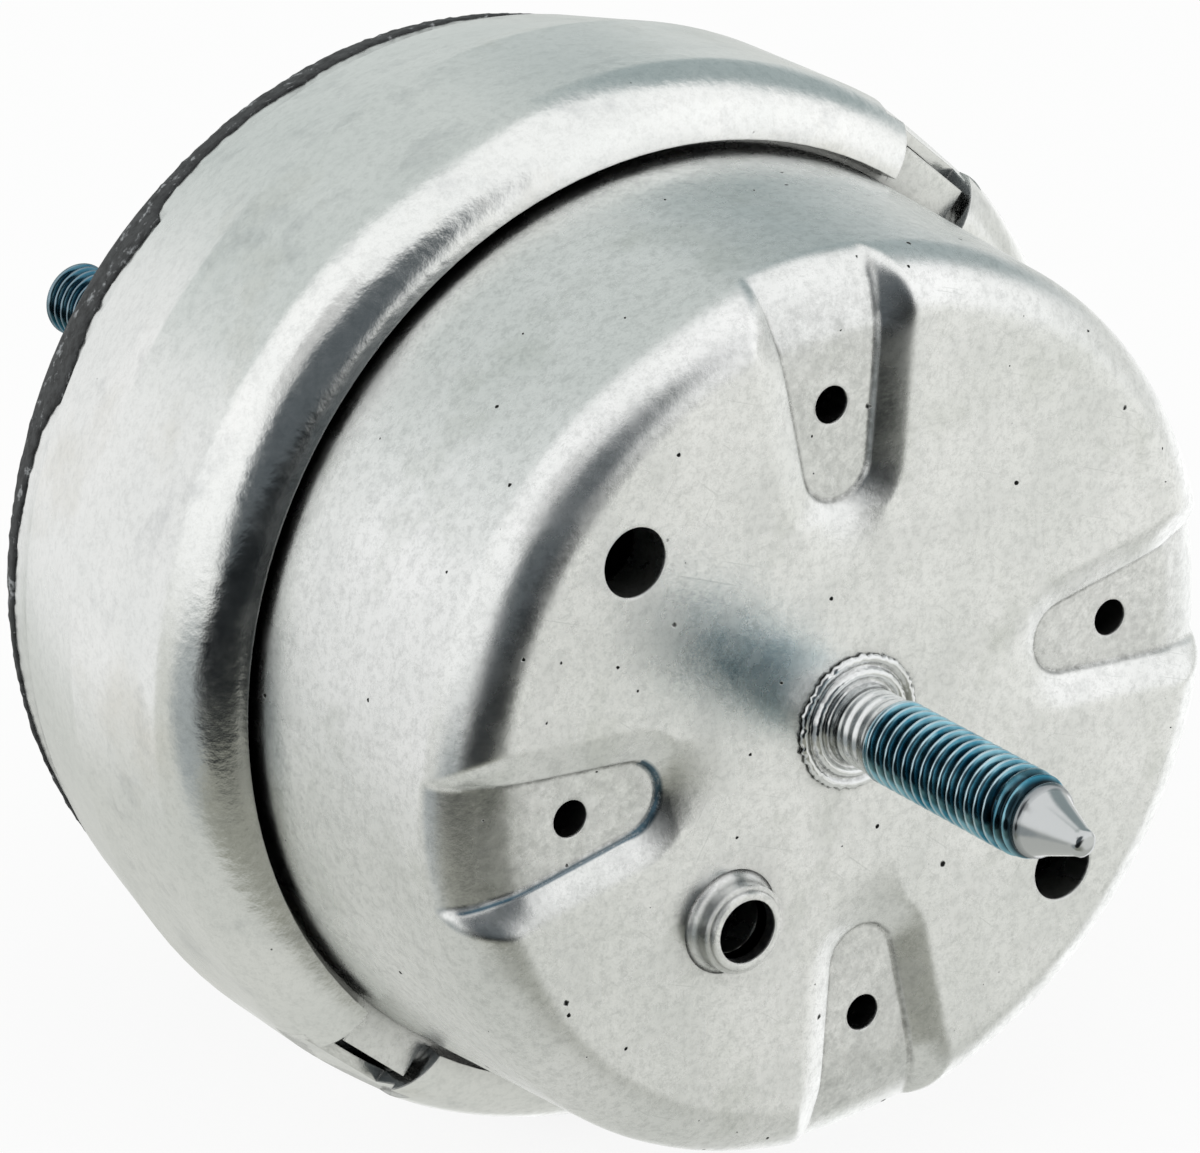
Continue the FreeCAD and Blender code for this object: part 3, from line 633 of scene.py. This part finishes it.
def baseStudPiece():
    b = baseStudSettings
    rings = plainRings(b["head"])
    rings += [(along, radius, 0, burr) for along, radius, burr in b["collar"]]
    rings += threadRings(*b["runOut"])
    rings += threadRings(*b["thread"])[:-b["threadOpen"]]
    # the thread dies out on the tip's chamfer
    last = b["lastTurns"]
    for index in range(last["rings"] + 1):
        share = index / last["rings"]
        along = last["start"] + (last["end"] - last["start"]) * share
        narrower = (last["endRadius"] - last["radius"]) * share ** last["taper"]
        rings.append((along, last["radius"] + narrower,
                      last["depth"] * (1 - share) ** last["fading"], 0))
    rings += plainRings(b["tip"])
    piece = studPiece("base_stud_threaded", rings)
    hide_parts("base_stud")


coreStudSettings = {
    "root": [(80.45, 4.4), (80.6, 4.57), (102.3, 4.57), (102.42, 4.3), (102.5, 3.62),
             (105.2, 3.56)],
    "thread": (105.3, 135.1, 3.93, 0.74, 0.5),
    "end": [(135.25, 3.72), (135.8, 3.3), (136.1, 2.85), (136.2, 2.2), (136.2, 1.0)],
}


def coreStudPiece():
    s = coreStudSettings
    rings = plainRings(s["root"]) + threadRings(*s["thread"]) + plainRings(s["end"])
    rings.reverse()
    piece = studPiece("core_stud_threaded", rings)
    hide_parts("core_stud")


baseStudPiece()
coreStudPiece()
print("threads cut")


cupSettings = {
    # rings of the flat face: start, spacing and number
    "faceRings": [(6.0, 2.8, 5), (20.0, 0.18, 50), (29.0, 0.55, 15)],
    # up to so many degrees from a pad's middle, points are so many degrees apart
    "spacing": [(12.505, 0.3), (22.005, 0.6), (45, 1.7692)],
    "leastStep": 0.1,
    "cornerStart": 37.25,
    "corner": 5.6,
    "cornerSteps": 32,
    "cornerBlend": 3.6,    # the mould's rounding where a pad runs out over the cup's corner
    "blendFrom": 34,
    "blendOver": 5,
    "sharpBlend": 0.001,
    "draft": math.radians(4.19),
    "flangeFront": 30.7,
    "flangeGap": 0.01,
    "rimRadius": 44.7,
    "rimLap": (0.03, 0.6),
    "inside": [(39.95, 31.3), (39.53, 30.6), (38.45, 7.6), (35.65, 4.8), (10.5, 4.8),
               (10.5, 8.0), (6.0, 8.0)],
    "padHalf": math.radians(8.3),
    "padEndCentre": 24.5,
    "padEndRadius": 3.537,
    "padDepth": 1.4,
    "padBend": 32.0,
    "padFall": 0.0023,     # the floor falls away by this much of the cubed distance
    "padsTo": 6.1,         # no pad reaches further back than this
    "shoulderDepth": 1.05,
    "shoulderWidth": 3.3,
    "shoulderFall": 0.9,   # share of the floor's fall that the shoulder follows
    "shoulderCurve": 1.3,
    "wall": 0.3,
    "wallLean": 0.3,       # a deeper wall is wider by this share
    # radius of the circle, angle and radius of each hole
    "holes": [(31.75, -45, 3.2), (31.75, 135, 3.2), (21.0, -135, 3.0), (30.0, 0, 1.75),
              (30.0, 90, 1.75), (30.0, 180, 1.75), (30.0, 270, 1.75)],
    "holeEnds": (-4, 6.5),
    "holeSteps": 72,
    "dowelCircle": 21.0,
    "dowelAngle": -135,
    "dowelSteps": 96,
    "dowelSeat": [(1.0, 0.4), (5.2, 0.3)],
    "dowelFillet": 1.0,
    "dowelSunk": 0.04,
    "filletSteps": 9,
    "dowel": [(4.2, -2.05), (4.13, -2.2), (3.74, -2.22), (3.7, -2.48), (3.58, -2.6),
              (1.0, -2.6)],
    "cutterRadius": 60,    # takes the front off the frame's own cup, whose back is kept
    "cutterFront": -6,
    "cutterSteps": 24,
}


def roundedMax(first, second, blend):
    share = min(1.0, max(0.0, 0.5 + 0.5 * (first - second) / blend))
    return second + (first - second) * share + blend * share * (1 - share)


def padDistance(radius, angle):
    # the distance out along the nearest pad, and how far its floor's edge is from here
    c = cupSettings
    turn = (angle + math.pi / 4) % (math.pi / 2) - math.pi / 4
    out = radius * math.cos(turn)
    side = abs(radius * math.sin(turn))
    half = c["padHalf"]
    if out * math.cos(half) + side * math.sin(half) < c["padEndCentre"] * math.cos(half):
        away = math.hypot(out - c["padEndCentre"], side) - c["padEndRadius"]
    else:
        away = side * math.cos(half) - out * math.sin(half)
    return out, away


def cupFront(radius, along, angle):
    # how far back the cup's front lies here, with the four pads sunk into it
    c = cupSettings
    out, away = padDistance(radius, angle)
    behind = along >= c["padsTo"] or (radius, along) in c["inside"]
    if behind or away > c["shoulderWidth"]:
        return along
    reach = min(1.0, max(0.0, away / c["shoulderWidth"]))
    fall = max(0.0, out - c["padBend"]) ** 3 * c["padFall"]
    shoulder = c["shoulderDepth"] + fall * c["shoulderFall"]
    shoulder *= (1 - reach) ** c["shoulderCurve"]
    floor = c["padDepth"] + fall
    wall = c["wall"] + c["wallLean"] * (floor - c["padDepth"])
    depth = shoulder + (floor - shoulder) * softer(0.5 - away / wall)
    edge = softer((radius - c["blendFrom"]) / c["blendOver"]) * (1 - reach)
    return roundedMax(along, depth, c["sharpBlend"] + c["cornerBlend"] * edge)


def cupAngles():
    # close together across each pad, wide apart between the pads
    c = cupSettings
    limit = c["spacing"][-1][0]
    angles = []
    for quarter in range(4):
        turn = -float(limit)
        while turn < limit - c["leastStep"]:
            angles.append(math.radians(quarter * 90 + turn))
            turn += next(step for to, step in c["spacing"] if abs(turn) <= to)
    return angles


def cupRings():
    c = cupSettings
    rings = [(start + spacing * step, 0.0) for start, spacing, count in c["faceRings"]
             for step in range(count)]
    reach = math.pi / 2 - c["draft"]
    for step in range(c["cornerSteps"] + 1):
        turn = reach * step / c["cornerSteps"]
        rings.append((c["cornerStart"] + c["corner"] * math.sin(turn),
                      c["corner"] * (1 - math.cos(turn))))
    wider, further = c["rimLap"]
    rings += [(c["rimRadius"], c["flangeFront"]),
              (c["rimRadius"] + wider, c["flangeFront"] + further)]
    return rings


def closedTurn(rings, angles, shape=None, circle=0, degrees=0):
    # a turned body as a mesh, its axis at an angle on a circle; the shape may move each
    # point along the axis
    mesh = bpy.data.meshes.new("turned")
    right, level, up = around(circle, math.radians(degrees), 0)
    points = []
    for radius, along in rings:
        for angle in angles:
            place = shape(radius, along, angle) if shape else along
            x, y, z = around(radius, angle, place)
            points.append((x + right, y + level, z + up))
    mesh.from_pydata(points, [], ringFaces(len(rings), len(angles)))
    return mesh


def pin(circle, degrees, radius, start, end, count):
    rings = [(radius, start), (radius, end), (axisGap, end), (axisGap, start)]
    return closedTurn(rings, evenAngles(count), circle=circle, degrees=degrees)


def combine(piece, operation, mesh):
    # joins a body to the piece or cuts it away
    tool = addObject("tool", mesh)
    step = piece.modifiers.new("step", "BOOLEAN")
    step.operation = operation
    step.solver = "MANIFOLD"
    step.object = tool
    bpy.context.view_layer.update()
    result = bpy.data.meshes.new_from_object(piece.evaluated_get(
        bpy.context.evaluated_depsgraph_get()))
    piece.modifiers.clear()
    piece.data = result
    bpy.data.objects.remove(tool)
    print("cup", operation, len(result.polygons))


padDirtShadeReflectionSettings = {
    "front": 6,            # only points in front of this and between these radii are marked
    "from": 19,
    "to": 43,
    # dirt and painted shade in the corner round a pad's floor: its middle, half its width, where
    # it fades
    "line": (-0.1, 0.4, 42, 6),
    # and thinner dirt and painted shade on the floor: strength, distance from the wall, where it
    # fades
    "floor": (0.28, 0.8, 41.5, 3),
    # a bluish line of painted reflection on the lowest pad side: where it lies, its upper end and
    # how that slopes
    "reflectionFrom": -19,
    "reflectionHalf": 9,
    "reflectionTop": (1.0, 24, 1.5),
    "reflectionAt": 0.1,
    "reflectionWidth": (0.24, 0.3, 25.5, 3.5),
    "reflectionEnd": (41.9, 0.8),
}


def markPadDirtShadeAndReflection(mesh):
    # marks kept on the cup's points: dirt with painted shade round the pads' floors, and a
    # painted reflection on the lowest pad's side
    s = padDirtShadeReflectionSettings
    rim = mesh.attributes.new("rim", "FLOAT", "POINT")
    bluishReflection = mesh.attributes.new("bluishReflection", "FLOAT", "POINT")
    lineAt, lineHalf, lineTo, lineFade = s["line"]
    floorStrength, floorFrom, floorTo, floorFade = s["floor"]
    topAt, topFrom, topSlope = s["reflectionTop"]
    narrow, wider, widerFrom, widerOver = s["reflectionWidth"]
    reflectionTo, reflectionFade = s["reflectionEnd"]
    for index, point in enumerate(mesh.vertices):
        x, y, z = point.co / mm
        radius = math.hypot(x, z)
        if y > s["front"] or not s["from"] < radius < s["to"]:
            continue
        away = padDistance(radius, math.atan2(x, z))[1]
        line = max(0.0, 1 - abs(away - lineAt) / lineHalf) * softer((lineTo - radius) / lineFade)
        floor = floorStrength * softer(-away / floorFrom) * softer((floorTo - radius) / floorFade)
        # dirt and painted shade at the foot of each pad's wall and on its floor
        rim.data[index].value = max(line, floor)
        # painted reflection: a bluish line along the lowest pad's side
        top = topAt + max(0.0, topFrom + x) * topSlope
        if x < s["reflectionFrom"] and abs(z) < s["reflectionHalf"] and z < top:
            width = narrow + wider * softer((widerFrom + x) / widerOver)
            bluishReflection.data[index].value = (max(0.0, 1 - abs(away - s["reflectionAt"]) / width)
                                        * softer((reflectionTo - radius) / reflectionFade))


def cupPiece():
    # the cup again, with the mould's own roundings where the pads run out over its corner
    c = cupSettings
    mesh = closedTurn(cupRings() + c["inside"], cupAngles(), cupFront)
    markPadDirtShadeAndReflection(mesh)
    piece = addObject("base_cup_soft", mesh)
    dowel = list(c["dowelSeat"])
    foot = dowel[-1][0]
    for step in range(c["filletSteps"] + 1):
        turn = math.pi / 2 * step / c["filletSteps"]
        dowel.append((foot - c["dowelFillet"] * math.sin(turn),
                      c["dowelSunk"] - c["dowelFillet"] * (1 - math.cos(turn))))
    combine(piece, "UNION", closedTurn(dowel + c["dowel"], evenAngles(c["dowelSteps"]),
                                       circle=c["dowelCircle"], degrees=c["dowelAngle"]))
    for circle, degrees, radius in c["holes"]:
        combine(piece, "DIFFERENCE", pin(circle, degrees, radius, *c["holeEnds"],
                                         c["holeSteps"]))
    back = addObject("back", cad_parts["base_cup"].data.copy())
    weld = bmesh.new()
    weld.from_mesh(back.data)
    bmesh.ops.remove_doubles(weld, verts=weld.verts, dist=weldDistance)
    weld.to_mesh(back.data)
    weld.free()
    combine(back, "DIFFERENCE", pin(0, 0, c["cutterRadius"], c["cutterFront"],
                                    c["flangeFront"] - c["flangeGap"], c["cutterSteps"]))
    combine(piece, "UNION", back.data)
    bpy.data.objects.remove(back)
    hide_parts("base_cup")
    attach(piece, "root")
    dress(piece, materials["cast"])


cupPiece()
print("cup rounded")


flashSettings = {
    "back": 67.75,
    "backRadius": 46.9,
    "thick": 0.3,
    "rows": 5,
    "steps": 720,
    # how far the torn edge stands in front of the shell's back end, by angle round the axis
    "edge": [(-180, 1.6), (-165, 1.0), (-150, 1.1), (-135, 0.6), (-118, 1.0), (-100, 0.7),
             (-88, 1.0), (-80, 1.7), (-74, 1.9), (-68, 2.6), (-65, 2.6), (-63, 3.6), (-60, 5.0),
             (-56.5, 4.7), (-53, 4.0), (-49, 3.5), (-45, 4.1), (-41.7, 4.3), (-38.4, 4.7),
             (-37.8, 3.0), (-36, 2.6), (-32.5, 2.5), (-26.6, 2.3), (-20, 2.5), (-15, 3.2),
             (-4, 2.4), (10, 1.6), (28, 2.9), (45, 2.0), (66, 3.3), (84, 1.5), (101, 2.5),
             (120, 3.8), (131, 1.8), (150, 2.6), (167, 1.5), (180, 1.6)],
    "least": 0.5,
    "torn": [(1.9, 0.4), (0.7, 0.22)],     # grain and height of the edge's ragged line
    "noiseRadius": 48,
    "lumpGrain": 0.8,
    "lumps": (0.8, 0.5),                   # share of the thickness, and how much it varies
    "lip": 0.55,                           # the torn edge is thinner
    # how far the skin's ends reach under it: inwards and forwards
    "backLap": (0.9, 0.1),
    "frontLap": (0.15, 0.05),
    "shellLap": (0.3, 0.2),
    # the outside of the shell near its back end, by place along the axis
    "shell": [(61.4, 49.0), (62.4, 48.5), (67.4, 47.3)],
}


def flashPiece():
    # a ragged skin of rubber that squeezed out over the back of the shell
    f = flashSettings
    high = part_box("outer_shell")[1]
    back = high[1] / mm
    lumpShare, lumpHeight = f["lumps"]
    points = []
    for step in range(f["steps"]):
        degrees = -180 + 360 * step / f["steps"]
        angle = math.radians(degrees)
        where = Vector(around(f["noiseRadius"], angle, 0))
        width = between(f["edge"], degrees)
        width += sum(noise.noise(where / (grain * mm)) * height for grain, height in f["torn"])
        front = back - max(f["least"], width)
        ring = [(f["backRadius"] - f["backLap"][0], f["back"] - f["backLap"][1]),
                (f["backRadius"], f["back"])]
        for row in range(f["rows"]):
            along = back + (front - back) * row / (f["rows"] - 1)
            spot = Vector(around(f["noiseRadius"], angle, along))
            lump = noise.noise(spot / (f["lumpGrain"] * mm))
            lip = f["lip"] if row == f["rows"] - 1 else 1
            lift = f["thick"] * (lumpShare + lumpHeight * lump) * lip
            ring.append((between(f["shell"], along) + lift, along))
        for end, (inwards, forwards) in ((front, f["frontLap"]), (back, f["shellLap"])):
            ring.append((between(f["shell"], end) - inwards, end - forwards))
        points += [around(radius, angle, along) for radius, along in ring]
    faces = ringFaces(f["steps"], len(points) // f["steps"])
    addPiece("rubber_flash", points, faces, "flash")


flashPiece()
print("rubber flash made")


def seenDirectly(tree):
    # the kind of each ray, and whether it comes straight from the camera
    ray = addNode(tree, "ShaderNodeLightPath").outputs
    direct = addNode(tree, "ShaderNodeMath", {"operation": "MAXIMUM"},
                     [ray["Is Camera Ray"], ray["Is Transmission Ray"]]).outputs[0]
    return ray, direct


floorSettings = {
    "size": 3.0,
    "color": "#F4F4F2",
    "shadow": 0.1,         # share of the floor's white that the object's shadow can darken
}


def makeFloor():
    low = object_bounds()[0][2]
    half = floorSettings["size"] / 2
    mesh = bpy.data.meshes.new("floor")
    corners = [(-half, -half, low), (half, -half, low), (half, half, low), (-half, half, low)]
    mesh.from_pydata(corners, [], [(0, 1, 2, 3)])
    floor = addObject("floor", mesh)
    material = bpy.data.materials.new("whiteFloor")
    tree = emptyTree(material)
    ray, direct = seenDirectly(tree)
    matte = addNode(tree, "ShaderNodeBsdfDiffuse",
                    inputs={"Color": toLinear(floorSettings["color"])}).outputs[0]
    lit = addNode(tree, "ShaderNodeEmission", inputs={"Color": white, "Strength": 1.0}).outputs[0]
    seen = addNode(tree, "ShaderNodeMixShader",
                   inputs=[1 - floorSettings["shadow"], matte, lit]).outputs[0]
    shown = addNode(tree, "ShaderNodeMixShader", inputs=[direct, matte, seen]).outputs[0]
    # metal sees the tent's own floor panels, which the world holds
    clear = addNode(tree, "ShaderNodeBsdfTransparent").outputs[0]
    mirrored = addNode(tree, "ShaderNodeMixShader",
                       inputs=[ray["Is Glossy Ray"], shown, clear]).outputs[0]
    addNode(tree, "ShaderNodeOutputMaterial", inputs={"Surface": mirrored})
    floor.data.materials.append(material)


# a white light tent with an open front: each panel has its middle (degrees round from -Y
# towards +X, and up), its half sizes, the softness of its edge, its colour and its level
tentSettings = {
    "above": ("#FFFFFF", 1.04),
    "below": ("#E6E7E2", 0.82),
    "horizon": 14,         # degrees up and down over which the two halves blend
    "panels": {
        "farSide": (172, 30, 48, 50, 0.6, "#EEF4F2", 0.74),
        "rearLeft": (-156, -2, 28, 24, 0.7, "#FFFFFF", 0.9),
        "sideGap": (116, 32, 32, 27, 0.7, "#D9E8EA", 0.52),
        "sideWall": (46, 8, 28, 28, 0.5, "#FFFFFF", 1.1),
        "sideLow": (50, -20, 30, 14, 0.5, "#FFFFFB", 0.92),
        "floorSheet": (112, -36, 42, 27, 0.4, "#FFFFFF", 1.2),
        "leftDim": (-74, -16, 28, 16, 0.8, "#EEF6F8", 0.42),
        "upperLeft": (-52, 46, 20, 12, 0.8, "#FFFFFF", 0.6),
        "frontLow": (-20, -32, 48, 10, 0.7, "#F2F3E4", 0.36),
        "frontUpper": (-20, 19, 34, 27, 0.5, "#DCEAF4", 0.13),
        "frontGap": (-21, -11, 42, 15, 0.35, "#D5E4EE", 0.02),
    },
}


def makeTent():
    t = tentSettings
    world = bpy.data.worlds.new("lightTent")
    bpy.context.scene.world = world
    tree = emptyTree(world)
    toward = addNode(tree, "ShaderNodeTexCoord").outputs["Generated"]
    parts = addNode(tree, "ShaderNodeSeparateXYZ", inputs=[toward]).outputs
    forward = addNode(tree, "ShaderNodeMath", {"operation": "MULTIPLY"}, [parts["Y"], -1.0])
    turn = addNode(tree, "ShaderNodeMath", {"operation": "ARCTAN2"},
                   [parts["X"], forward.outputs[0]]).outputs[0]
    rise = addNode(tree, "ShaderNodeMath", {"operation": "ARCSINE"}, [parts["Z"]]).outputs[0]
    horizon = math.radians(t["horizon"])
    masks = [(rise, -horizon, horizon, t["above"])]
    for across, height, wide, tall, soft, color, level in t["panels"].values():
        # how far off the panel's middle this direction is, in half sizes of the panel
        off = turn
        for operation, value in (("SUBTRACT", math.radians(across)), ("COSINE", 0),
                                 ("ARCCOSINE", 0), ("DIVIDE", math.radians(wide))):
            off = addNode(tree, "ShaderNodeMath", {"operation": operation},
                          [off, value]).outputs[0]
        high = rise
        for operation, value in (("SUBTRACT", math.radians(height)),
                                 ("DIVIDE", math.radians(tall))):
            high = addNode(tree, "ShaderNodeMath", {"operation": operation},
                           [high, value]).outputs[0]
        both = addNode(tree, "ShaderNodeCombineXYZ", inputs=[off, high])
        reach = addNode(tree, "ShaderNodeVectorMath", {"operation": "LENGTH"},
                        [both.outputs[0]]).outputs["Value"]
        masks.append((reach, 1 + soft / 2, 1 - soft / 2, (color, level)))
    glow = toLinear(*t["below"])
    for value, start, end, look in masks:
        inside = addNode(tree, "ShaderNodeMapRange", {"interpolation_type": "SMOOTHSTEP"},
                         [value, start, end]).outputs[0]
        glow = addNode(tree, "ShaderNodeMix", {"data_type": "RGBA"},
                       {0: inside, 6: glow, 7: toLinear(*look)}).outputs[2]
    light = addNode(tree, "ShaderNodeBackground", inputs={"Color": glow}).outputs[0]
    seen = addNode(tree, "ShaderNodeBackground",
                   inputs={"Color": white, "Strength": 1.0}).outputs[0]
    surface = addNode(tree, "ShaderNodeMixShader",
                      inputs=[seenDirectly(tree)[1], light, seen]).outputs[0]
    addNode(tree, "ShaderNodeOutputWorld", inputs={"Surface": surface})


lampSettings = {
    "place": (-0.3, -0.4, 1.5),
    "size": 1.2,
    "power": 3.0,
}


def makeLamp():
    # soft light from above, aimed at the middle
    lamp = bpy.data.lights.new("topLamp", "AREA")
    lamp.shape = "SQUARE"
    lamp.size = lampSettings["size"]
    lamp.energy = lampSettings["power"]
    item = addObject("topLamp", lamp)
    item.location = lampSettings["place"]
    item.rotation_euler = (-Vector(lampSettings["place"])).to_track_quat("-Z", "Y").to_euler()
    item.visible_glossy = False      # metal mirrors the tent alone


cameraSettings = {
    "azimuth": -35.009,
    "elevation": 22.248,
    "distance": 0.525,
    "target": (-0.026754, 0.0, 0.019581),
    "turn": 4.335,          # the view leans this much round the studs' axis
    "forward": 0.0014,
    "lens": 184.915,
    "sensor": 36,
    "nearest": 0.01,
}


def makeCamera():
    c = cameraSettings
    camera = bpy.data.cameras.new("camera")
    camera.sensor_fit = "HORIZONTAL"
    camera.sensor_width = c["sensor"]
    camera.lens = c["lens"]
    camera.clip_start = c["nearest"]
    item = addObject("camera", camera)
    a = math.radians(c["azimuth"])
    e = math.radians(c["elevation"])
    away = Vector((math.sin(a) * math.cos(e), -math.cos(a) * math.cos(e), math.sin(e)))
    look = (-away).to_track_quat("-Z", "Y").to_matrix().to_4x4()
    pose = Matrix.Translation(Vector(c["target"]) + away * c["distance"]) @ look
    lean = Matrix.Rotation(math.radians(c["turn"]), 4, "Y")
    item.matrix_world = Matrix.Translation((0, c["forward"], 0)) @ lean @ pose
    bpy.context.scene.camera = item


makeFloor()
makeTent()
makeLamp()
makeCamera()
bpy.context.scene.view_settings.view_transform = "Standard"
print("stage made")
